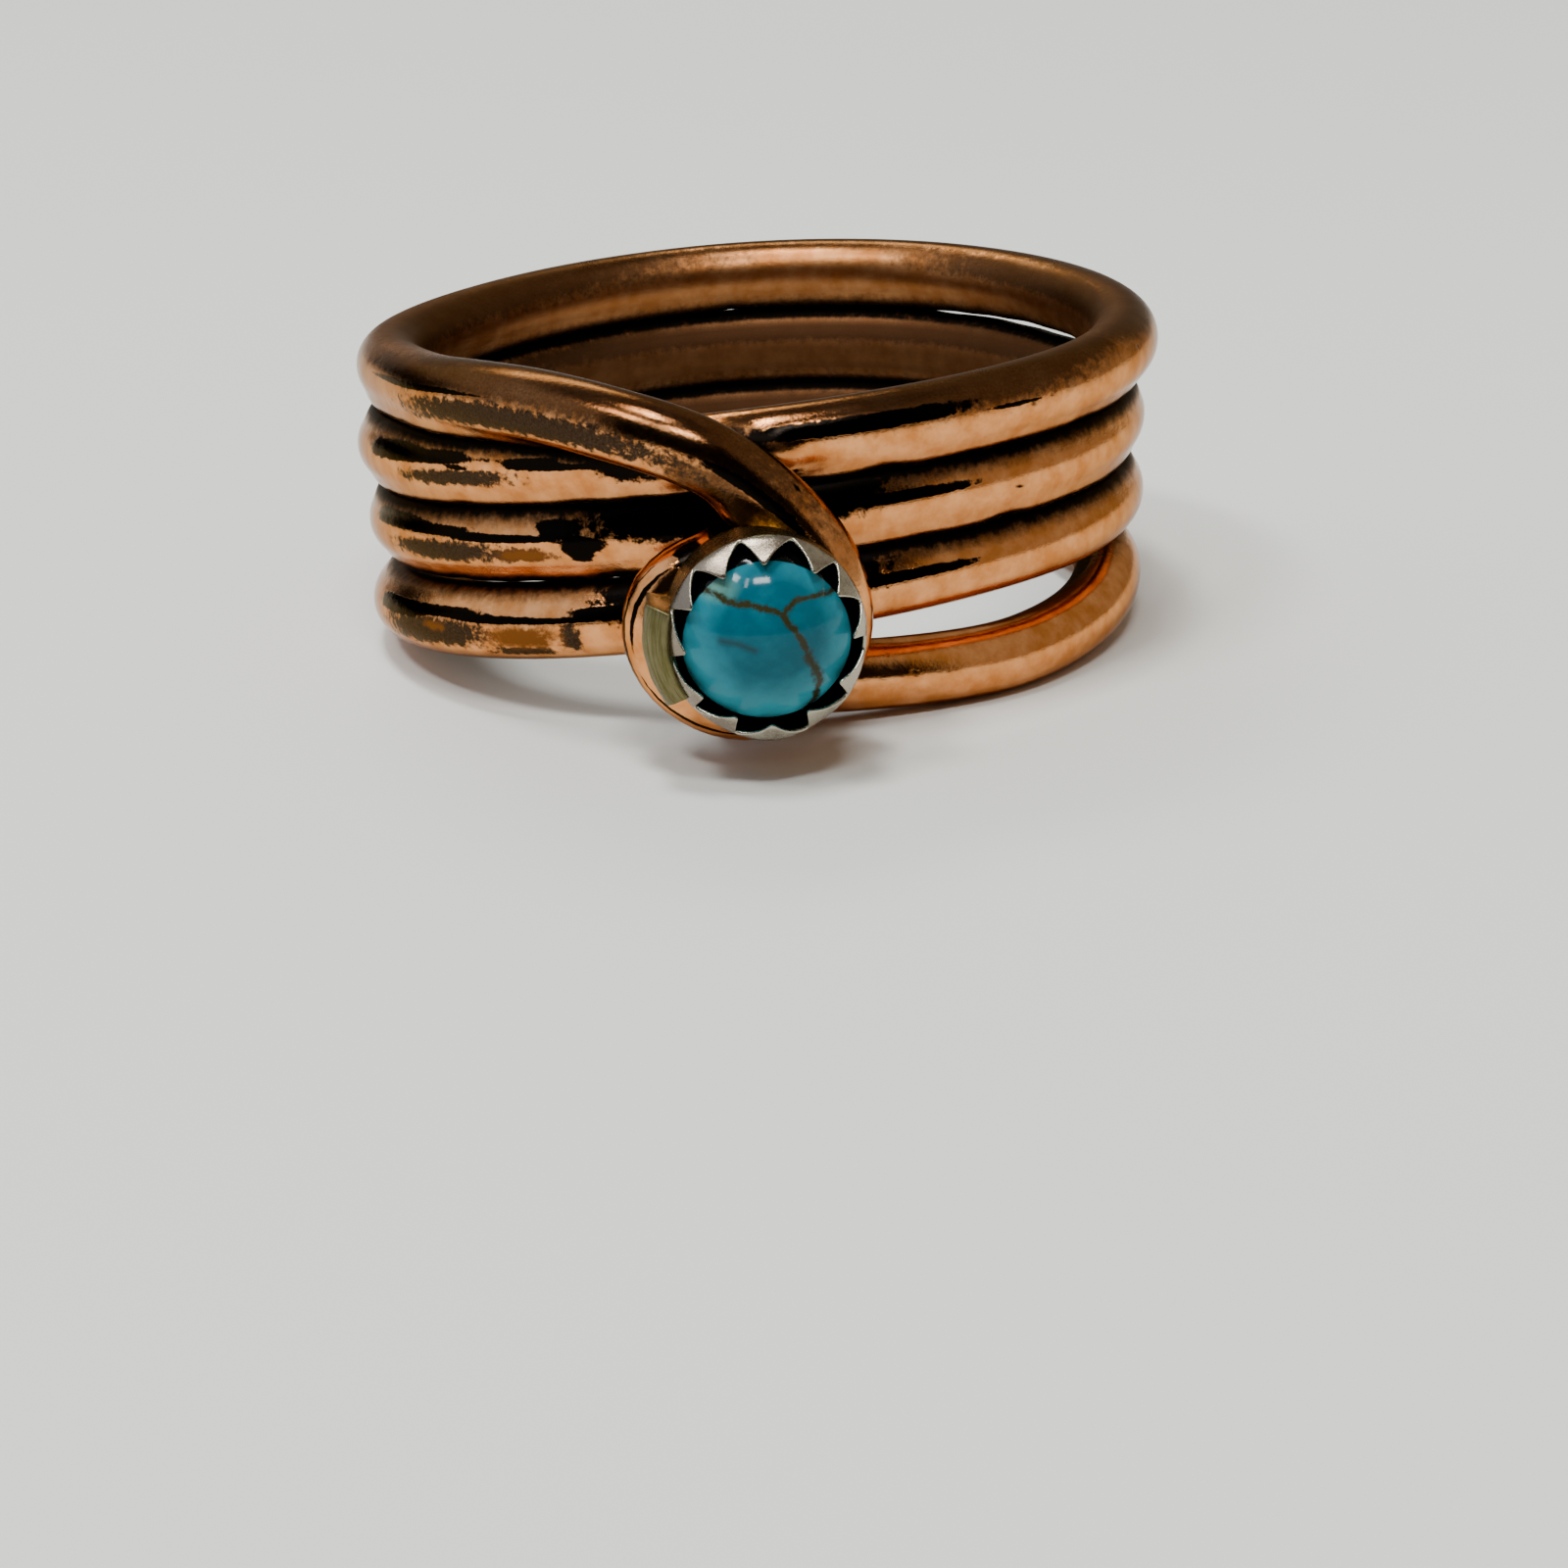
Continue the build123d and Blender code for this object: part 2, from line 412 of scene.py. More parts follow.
class StageSettings(bpy.types.PropertyGroup):
    """Camera, floor and light"""

    camera_distance: length_prop("Camera distance", "From the coil's middle", 99)
    camera_angle: angle_prop("Camera angle", "Of the camera above the coil's middle plane", 11.4)
    focal_pixels: FloatProperty(
        name="Focal length", description="In pixels of the image", default=3720
    )
    middle_right: FloatProperty(
        name="Middle across", description="Pixel of the coil's middle, across", default=771.5
    )
    middle_down: FloatProperty(
        name="Middle down", description="Pixel of the coil's middle, down", default=460
    )
    floor: colour_prop("Floor", "Pale matt board", "#DFE0DA")


def add(tree, kind, inputs=None, **settings):
    """Adds a shader node. Each input takes a value, a node or one of a node's outputs."""
    node = tree.nodes.new("ShaderNode" + kind)
    for name, value in settings.items():
        setattr(node, name, value)
    for key, value in (inputs or {}).items():
        if isinstance(value, bpy.types.Node):
            value = next(output for output in value.outputs if output.enabled)
        if isinstance(value, bpy.types.NodeSocket):
            tree.links.new(value, node.inputs[key])
        else:
            node.inputs[key].default_value = value
    return node


def new_material(name):
    """An empty material and its node tree."""
    material = bpy.data.materials.new(name)
    material.use_nodes = True
    material.node_tree.nodes.clear()
    return material, material.node_tree


def eased(table, angle):
    """Value at a turn angle, eased in and out between the rows of a table."""
    for (angle_a, value_a), (angle_b, value_b) in zip(table, table[1:]):
        if angle_a <= angle <= angle_b:
            share = (angle - angle_a) / (angle_b - angle_a)
            return value_a + (value_b - value_a) * share * share * (3 - 2 * share)
    return table[0][1] if angle < table[0][0] else table[-1][1]


def corner_reach(step):
    """How much further out a corner stands than the smooth line that turns there."""
    half = radians(step / 2)
    return 2 / ((3 + cos(2 * half)) / 4 + cos(half))


def coil_point(wire, angle, reach=1):
    """Middle of the wire at a turn angle: 0 degrees is the front, 90 the left, 180 the back."""
    turn = radians(angle)
    last = 360 * wire.coil_turns + degrees(wire.end_angle)
    out = (wire.coil_radius - wire.wire_diameter * eased(INSET, angle)) * reach
    pitch = wire.wire_diameter + (wire.front_gap + wire.back_gap) / 2
    pitch -= (wire.back_gap - wire.front_gap) / 2 * cos(turn)
    height = pitch * (wire.coil_turns / 2 - angle / 360)
    height += wire.saddle_height * cos(2 * turn) - wire.side_height * sin(turn)
    height -= wire.wire_diameter * eased(SAG, angle - last)
    return Vector((-out * sin(turn), -out * cos(turn), height))


def loop_middle(wire):
    """Middle of the curled loop in front of the turns."""
    back = -wire.coil_radius - wire.wire_diameter - wire.loop_clearance
    return Vector((wire.loop_offset, back, coil_point(wire, 90).z - wire.loop_depth))


def wire_route(wire):
    """Corners of the wire's path: the loop, the crossing and the coil."""
    middle = loop_middle(wire)
    loop_radius = wire.loop_hole_radius + wire.wire_diameter / 2
    points = []
    for angle, wider in LOOP:
        turn = radians(angle)
        out = loop_radius * corner_reach(45) + wider * wire.wire_diameter
        points.append(middle + Vector((out * cos(turn), 0, out * sin(turn))))
    way = coil_point(wire, 90) - middle
    for left, back, up in CROSSING:
        points.append(middle + Vector((left * way.x, back * way.y, up * way.z)))
    for angle in range(90, 360 * wire.coil_turns, 30):
        points.append(coil_point(wire, angle, corner_reach(30)))
    points.append(coil_point(wire, 360 * wire.coil_turns + degrees(wire.end_angle)))
    return points


def smooth_line(corners, step):
    """Points at even steps along the smooth line that the corners guide."""
    curve = bpy.data.curves.new("route", "CURVE")
    curve.dimensions = "3D"
    spline = curve.splines.new("NURBS")
    spline.points.add(len(corners) - 1)
    for point, corner in zip(spline.points, corners):
        point.co = (*corner, 1)
    spline.order_u = 3
    spline.use_endpoint_u = True
    spline.resolution_u = 16
    holder = bpy.data.objects.new("route", curve)
    mesh = bpy.data.meshes.new_from_object(holder)
    knots = [vertex.co.copy() for vertex in mesh.vertices]
    bpy.data.meshes.remove(mesh)
    bpy.data.objects.remove(holder)
    bpy.data.curves.remove(curve)
    total = sum((b - a).length for a, b in zip(knots, knots[1:]))
    count = round(total / step)
    points, gone, due = [knots[0]], 0.0, total / count
    for a, b in zip(knots, knots[1:]):
        run = (b - a).length
        while run > 0 and gone + run >= due * len(points) - ROUNDING and len(points) < count:
            points.append(a.lerp(b, (due * len(points) - gone) / run))
        gone += run
    return points + [knots[-1]]


def ring_frames(points):
    """A frame at each point: X outward from the coil's axis, Y over the top, Z along the wire."""
    frames = []
    for index, point in enumerate(points):
        along = points[min(index + 1, len(points) - 1)] - points[max(index - 1, 0)]
        along.normalize()
        out = Vector((point.x, point.y, 0)).normalized()
        out = (out - along * out.dot(along)).normalized()
        up = along.cross(out)
        place = Matrix((out, up, along)).transposed().to_4x4()
        place.translation = point
        frames.append(place)
    return frames


def laid_down(wire, points):
    """Matrix that lays the coil down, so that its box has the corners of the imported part's."""
    lean = Matrix.Rotation(-wire.back_angle, 4, "X") @ Matrix.Rotation(wire.right_angle, 4, "Y")
    low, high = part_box("coil_ring")
    leaned = [lean @ point for point in points]
    half = wire.wire_diameter / 2
    shift = Vector(
        (
            high.x - max(point.x for point in leaned) - half,
            high.y - max(point.y for point in leaned) - half,
            low.z - min(point.z for point in leaned) + half,
        )
    )
    return Matrix.Translation(shift) @ lean


def cup_frame(wire, cup):
    """The cup's own frame: Z is the way that it faces, forward and a little to the right."""
    turn = cup.facing_angle
    sink = cup.solder_depth + cup.cup_radius * sin(turn)
    axes = Matrix(((cos(turn), sin(turn), 0), (0, 0, 1), (sin(turn), -cos(turn), 0)))
    place = axes.transposed().to_4x4()
    offset = Vector((cup.cup_offset, sink - wire.wire_diameter / 2, cup.cup_lift))
    place.translation = loop_middle(wire) + offset
    return place


def finish_piece(name, bm, node, material):
    """Turns a bmesh into a smooth piece that rides on the ring and stands for a node."""
    bmesh.ops.recalc_face_normals(bm, faces=bm.faces)
    for face in bm.faces:
        face.smooth = True
    mesh = bpy.data.meshes.new(name)
    bm.to_mesh(mesh)
    bm.free()
    piece = bpy.data.objects.new(name, mesh)
    bpy.context.scene.collection.objects.link(piece)
    mesh.materials.append(material)
    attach(piece, "root")
    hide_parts(node)


def ring_of(made):
    """The new open ring that an extrusion has made: its vertices and its edges."""
    verts = [item for item in made["geom"] if isinstance(item, bmesh.types.BMVert)]
    edges = [item for item in made["geom"] if isinstance(item, bmesh.types.BMEdge)]
    return verts, [edge for edge in edges if edge.is_boundary]


def mark_value(marks, along, angle):
    """1 inside a mark and 0 away from all of them; the value passes 0.5 at a mark's edge."""
    best = 0.0
    for mm_a, mm_b, angle_a, angle_b in marks:
        across = (along - (mm_a + mm_b) / 2) / ((mm_b - mm_a) / 2)
        around = (angle - (angle_a + angle_b) / 2) / ((angle_b - angle_a) / 2)
        if abs(across) < 2 and abs(around) < 2:
            reach = (abs(across) ** 3 + abs(around) ** 3) ** (1 / 3)
            best = max(best, 1.25 - 0.75 * reach)
    return min(best, 1.0)


def finger_side(angle):
    """0 on the wire's outside, and 1 on the side that faces the finger."""
    return min(max((abs(angle) - 95) / 40, 0), 1)


def dull_and_shade_value(along, angle, turn, gap):
    """1 where the wire is matt, up to 0.7 in painted shade beside another turn, and 0 where the
    wheel polished it.
    """
    # the wheel reached a little way inside the first turn, and not inside the others;
    # a faint brown veil lies at the coil's right, and beside another turn the veil is painted shade
    inside = (1.0 if along < FIRST_TURN_END else 1.4) * finger_side(angle)
    at_right = 0.15 * max(0, cos(radians(turn - 262))) ** 4
    shaded = 0.7 * min(max(1.3 - gap / (0.70 * MM), 0), 1)
    return max(inside, at_right, shaded, mark_value(DULL_MARKS, along, angle))


def groove_value(angle, gap):
    """1 where two turns meet, as patina and painted shade; the black reaches further inside and on
    a turn's top.
    """
    reach = 0.70 + 0.45 * finger_side(angle) + (0.55 if 0 < angle < 120 else 0)
    return min(max(1 - gap / (reach * MM), 0), 1)


def pit_value(along, angle, radius):
    """1 in the middle of a pit, and 0.5 at its edge."""
    best = 0.0
    for pit_along, pit_angle, size in PITS:
        off = hypot(along - pit_along, radians(angle - pit_angle) * radius / MM)
        best = max(best, 1 - off / (2 * size))
    return best


def crust_thickness(along, turn, gap):
    """How thick the black crust lies on the wire, up to half of the gap and a little more."""
    reach = 0.80 * MM
    if gap >= reach:
        return 0
    near = min(1, (reach - gap) / (0.45 * MM)) ** 2
    uneven = 1.0 + 0.5 * noise.noise(Vector((along * 0.8, 2, 4)))
    return max(gap, 0) / 2 * min(eased(CRUST, turn) * uneven, 1.03) * near


def near_turns(wire, points):
    """For each point of the wire, the points of other turns that pass close by."""
    tree = kdtree.KDTree(len(points))
    for index, point in enumerate(points):
        tree.insert(point, index)
    tree.balance()
    # points nearer than this along the wire are the same stretch, and not another turn
    step = (points[1] - points[0]).length
    same_stretch = round(2.5 * wire.wire_diameter / step)
    return [
        [
            found
            for found, other, _ in tree.find_range(point, 1.7 * wire.wire_diameter)
            if abs(other - index) > same_stretch
        ]
        for index, point in enumerate(points)
    ]


def copper_material(wire):
    """Copper wire: drawn, wound, dipped in a blackening bath and polished on a wheel.

    The wheel leaves the outer faces bright and warm, with fine scratches along the wire.
    Black stays in the grooves, and a brown or grey film where the wheel slid over. Some of
    the black and brown is painted shade between the turns and under the loop, and painted
    dark reflection of the room."""
    material, tree = new_material("polished_copper_wire")
    place = add(tree, "Attribute", attribute_name="place").outputs["Vector"]
    marks = {
        name: add(tree, "Attribute", attribute_name=name).outputs["Fac"]
        for name in (*MARKS, *WIRE_VALUES)
    }
    # mottling about 0.8 mm wide, ragged edges of 0.2 mm, specks of 0.06 mm, and scratches
    # 0.05 mm apart and 1.4 mm long
    drawn = add(tree, "Mapping", {"Vector": place, "Scale": (0.35, 9, 9)})
    cloud, ragged, fine, scratch = (
        add(tree, "TexNoise", {"Vector": at, "Scale": scale, "Detail": detail, "Roughness": rough})
        for at, scale, detail, rough in (
            (place, 1.3, 5, 0.6),
            (place, 4.5, 6, 0.7),
            (place, 16, 4, 0.7),
            (drawn, 2, 4, 0.65),
        )
    )

    # each mark's edge is ragged by the first number and as soft as the second
    share = {}
    for name, raggedness, soft in (
        ("patina_and_shade", 0.65, 0.06),
        ("film", 1.6, 0.16),
        ("amber", 1.5, 0.30),
        ("brown", 0.8, 0.20),
        ("groove", 0.3, 0.16),
        ("pit", 0.4, 0.2),
    ):
        moved = add(
            tree, "Math", {0: ragged, 1: raggedness, 2: marks[name]}, operation="MULTIPLY_ADD"
        )
        middle = 0.5 + raggedness / 2
        share[name] = add(
            tree,
            "MapRange",
            {"Value": moved, "From Min": middle - soft, "From Max": middle + soft},
            interpolation_type="SMOOTHSTEP",
        )

    # deep where the copper keeps its first thin oxide, worn where specks show through the
    # brown film, and blotched with near black in the grey one
    deep = add(tree, "MapRange", {"Value": cloud, "From Min": 0.36, "From Max": 0.62})
    worn = add(
        tree,
        "MapRange",
        {"Value": fine, "From Min": 0.25, "From Max": 0.7, "To Min": 0.98, "To Max": 0.78},
    )
    blotch = add(tree, "MapRange", {"Value": fine, "From Min": 0.34, "From Max": 0.66})
    # the brown veil on matt wire, which beside another turn is painted shade
    veil_and_shade = add(tree, "Math", {0: marks["dull_and_shade"], 1: 0.62}, operation="MULTIPLY")
    brown = add(tree, "Math", {0: share["brown"], 1: worn}, operation="MULTIPLY")
    near_black = linear("#2C1E13")
    film = add(tree, "Mix", {0: blotch, 6: near_black, 7: wire.film}, data_type="RGBA")
    colour = wire.copper
    for amount, over in (
        (deep, wire.copper_deep),
        (veil_and_shade, wire.brown),
        (brown, wire.brown),
        (share["film"], film),
        (share["amber"], wire.amber),
        # the patina's black, which in places is painted shade and painted dark reflection
        (share["patina_and_shade"], wire.patina_and_shade),
        (share["groove"], wire.patina_and_shade),
        (share["pit"], wire.patina_and_shade),
    ):
        colour = add(tree, "Mix", {0: amount, 6: colour, 7: over}, data_type="RGBA")

    # the films are rougher than the bare metal, and so are the grooves and the matt wire
    matt = add(tree, "Math", {0: marks["dull_and_shade"], 1: 2.0}, operation="POWER")
    rough = add(tree, "MapRange", {"Value": fine, "To Min": 0.04, "To Max": 0.12})
    for amount, more in (
        (share["film"], 0.20),
        (share["brown"], 0.06),
        (share["groove"], 0.30),
        (matt, 0.30),
    ):
        rough = add(tree, "Math", {0: amount, 1: more, 2: rough}, operation="MULTIPLY_ADD")
    height = fine
    for amount, more in (
        (scratch, 0.35),
        (cloud, 5.0),
        (share["patina_and_shade"], 0.6),
        (share["pit"], -3.0),
    ):
        height = add(tree, "Math", {0: amount, 1: more, 2: height}, operation="MULTIPLY_ADD")
    bump = add(tree, "Bump", {"Height": height, "Strength": 0.35, "Distance": 0.01 * MM})
    shader = add(
        tree,
        "BsdfPrincipled",
        {
            "Base Color": colour,
            "Metallic": 1.0,
            "Roughness": rough,
            "Specular Tint": linear("#D2C8BC"),
            "Normal": bump,
        },
    )
    add(tree, "OutputMaterial", {"Surface": shader})
    return material


class COILRING_OT_wire(bpy.types.Operator):
    """Winds the copper wire: the loop, the crossing over the front and the coil"""

    bl_idname = "coilring.wire"
    bl_label = "Wind the wire"

    def execute(self, context):
        wire = context.scene.coil_ring_wire
        radius = wire.wire_diameter / 2
        points = smooth_line(wire_route(wire), wire.ring_step)
        frames = ring_frames(points)
        step = (points[1] - points[0]).length
        bm = bmesh.new()
        place = bm.verts.layers.float_vector.new("place")
        layers = {name: bm.verts.layers.float.new(name) for name in (*MARKS, *WIRE_VALUES)}
        bmesh.ops.create_circle(bm, radius=radius, segments=wire.sides, matrix=frames[0])
        ring, edges = list(bm.verts), list(bm.edges)
        first_edges = edges
        rings = [ring]
        for before, now in zip(frames, frames[1:]):
            ring, edges = ring_of(bmesh.ops.extrude_edge_only(bm, edges=edges))
            bmesh.ops.transform(bm, matrix=now @ before.inverted(), verts=ring)
            rings.append(ring)
        crusts = []
        for index, near in enumerate(near_turns(wire, points)):
            middle = points[index]
            back = frames[index].inverted()
            along = index * step / MM
            turn = degrees(atan2(-middle.x, -middle.y)) % 360
            for vertex in rings[index]:
                local = back @ vertex.co
                angle = degrees(atan2(local.y, local.x))
                gap = min(((vertex.co - found).length for found in near), default=1) - radius
                vertex[place] = (along, local.x / MM, local.y / MM)
                for name, marks in MARKS.items():
                    vertex[layers[name]] = mark_value(marks, along, angle)
                vertex[layers["dull_and_shade"]] = dull_and_shade_value(along, angle, turn, gap)
                vertex[layers["groove"]] = groove_value(angle, gap)
                vertex[layers["pit"]] = pit_value(along, angle, radius)
                thickness = crust_thickness(along, turn, gap)
                crusts.append((vertex, (vertex.co - middle).normalized() * thickness))
        for vertex, rise in crusts:
            vertex.co += rise
        # The cut ends, half black, with their edge worn round: each ring's share of the
        # radius and how many mm it stands out
        for ends, matrix, way in ((first_edges, frames[0], -1), (edges, frames[-1], 1)):
            for share, rise in ((0.95, 0.03), (0.80, 0.08)):
                ring, ends = ring_of(bmesh.ops.extrude_edge_only(bm, edges=ends))
                for vertex in ring:
                    local = matrix.inverted() @ vertex.co
                    size = hypot(local.x, local.y)
                    local.x *= share * radius / size
                    local.y *= share * radius / size
                    local.z = way * rise * MM
                    vertex.co = matrix @ local
                    vertex[layers["groove"]] = 0.55
            bmesh.ops.edgeloop_fill(bm, edges=ends)
        bmesh.ops.transform(bm, matrix=laid_down(wire, points), verts=bm.verts)
        finish_piece("copper_wire", bm, "coil_ring", copper_material(wire))
        return {"FINISHED"}


def silver_material(cup):
    """Silver: rolled strip, filed into teeth by hand and pressed over the stone.

    The file leaves bright flat edges, the tooth faces stay satin grey, and the wall keeps
    an olive tarnish from the bath that blackened the copper. Inside, the wall is painted
    near black: painted shade in the cup, with some patina."""
    material, tree = new_material("filed_silver_bezel")
    place = add(tree, "Attribute", attribute_name="place").outputs["Vector"]
    bright, wall, inner = (
        add(tree, "Attribute", attribute_name=name).outputs["Fac"]
        for name in ("bright", "wall", "dark")
    )
    # tarnish in clouds about 0.45 mm wide, and a file's grain of 0.08 mm
    cloud = add(tree, "TexNoise", {"Vector": place, "Scale": 2.2, "Detail": 5, "Roughness": 0.65})
    fine = add(tree, "TexNoise", {"Vector": place, "Scale": 12, "Detail": 5, "Roughness": 0.7})
    grey = add(tree, "MapRange", {"Value": cloud, "From Min": 0.40, "From Max": 0.62})
    grey = add(tree, "Math", {0: grey, 1: bright}, operation="SUBTRACT", use_clamp=True)
    stain = add(tree, "Math", {0: fine, 1: 0.6, 2: wall}, operation="MULTIPLY_ADD")
    stain = add(tree, "MapRange", {"Value": stain, "From Min": 0.62, "From Max": 1.0})
    colour = cup.silver
    for amount, over in (
        (grey, cup.silver_grey),
        (stain, cup.olive),
        # near black inside the wall: painted shade, with some patina
        (inner, linear("#0C0A08")),
    ):
        colour = add(tree, "Mix", {0: amount, 6: colour, 7: over}, data_type="RGBA")
    rough = add(tree, "MapRange", {"Value": fine, "To Min": 0.18, "To Max": 0.34})
    bump = add(tree, "Bump", {"Height": fine, "Strength": 0.5, "Distance": 0.012 * MM})
    shader = add(
        tree,
        "BsdfPrincipled",
        {"Base Color": colour, "Metallic": 1.0, "Roughness": rough, "Normal": bump},
    )
    add(tree, "OutputMaterial", {"Surface": shader})
    return material


def lap_material(cup):
    """Lap: hard silver solder, run on beside the strip's seam and left as the file cut it.

    The file drew streaks across it, and the olive tarnish stays in them."""
    material, tree = new_material("filed_solder_lap")
    place = add(tree, "Attribute", attribute_name="place").outputs["Vector"]
    # streaks about 0.07 mm wide and 0.8 mm long round the cup, clouds 0.2 mm wide
    drawn = add(tree, "Mapping", {"Vector": place, "Scale": (14, 1.2, 5)})
    streak = add(tree, "TexNoise", {"Vector": drawn, "Scale": 1, "Detail": 5, "Roughness": 0.7})
    cloud = add(tree, "TexNoise", {"Vector": place, "Scale": 5, "Detail": 5})
    dark = add(tree, "MapRange", {"Value": streak, "From Min": 0.40, "From Max": 0.60})
    colour = add(tree, "Mix", {0: dark, 6: cup.lap_pale, 7: cup.olive}, data_type="RGBA")
    rough = add(tree, "MapRange", {"Value": cloud, "To Min": 0.28, "To Max": 0.5})
    bump = add(tree, "Bump", {"Height": streak, "Strength": 0.8, "Distance": 0.03 * MM})
    shader = add(
        tree,
        "BsdfPrincipled",
        {"Base Color": colour, "Metallic": 1.0, "Roughness": rough, "Normal": bump},
    )
    add(tree, "OutputMaterial", {"Surface": shader})
    return material


def cup_floor(cup, stone):
    """Height of the cup's floor, which covers the wire that the tilted cup sits in."""
    slant = 2 * cup.cup_radius * sin(cup.facing_angle)
    return slant + cup.solder_depth + stone.floor_cover


def tooth_share(cup, angle):
    """0 at a notch and 1 at a tip, and how far the tip stands from the middle."""
    # degrees on each side of a tip that the file left flat
    half_tip = 1.3
    last_notch = (TEETH[0][0] + 360, 0, 0)
    for (notch, tip, reach), (after, _, _) in zip(TEETH, TEETH[1:] + [last_notch]):
        if notch <= angle <= after:
            if angle < tip:
                share = (angle - notch) / max(tip - half_tip - notch, 1)
            else:
                share = (after - angle) / max(after - tip - half_tip, 1)
            return min(share, 1), reach * MM
    # the last notch is cut wide, up to the upright side of the tooth at the cup's right
    return 0, cup.cup_radius


def strip_point(cup, angle, run, depth):
    """Radius and height on the strip: run 0 to 1 up its wall, 1 to 2 up the tooth."""
    # how far a tooth's tip lies over, from upright
    tip_lean = radians(68)
    share, tip = tooth_share(cup, angle)
    root = cup.wall_height - cup.notch_depth
    flare = eased(FLARE, angle) * MM * min(run, 1) ** 2
    # the file thinned the strip to under half at its rim
    depth *= 1 - 0.55 * min(run, 1) ** 2
    if run <= 1:
        return cup.cup_radius + flare - depth, root * run
    # a tooth rises, curls in over the stone and thins a little more
    up = (run - 1) * share
    over = (cup.cup_radius + flare - tip) * up**1.2 - flare
    rise = (cup.tooth_height + cup.notch_depth) * up**0.85
    lean = tip_lean * min(up * 1.6, 1)
    thin = depth * (1 - 0.2 * up)
    return cup.cup_radius - over - thin * cos(lean), root + rise - thin * sin(lean)


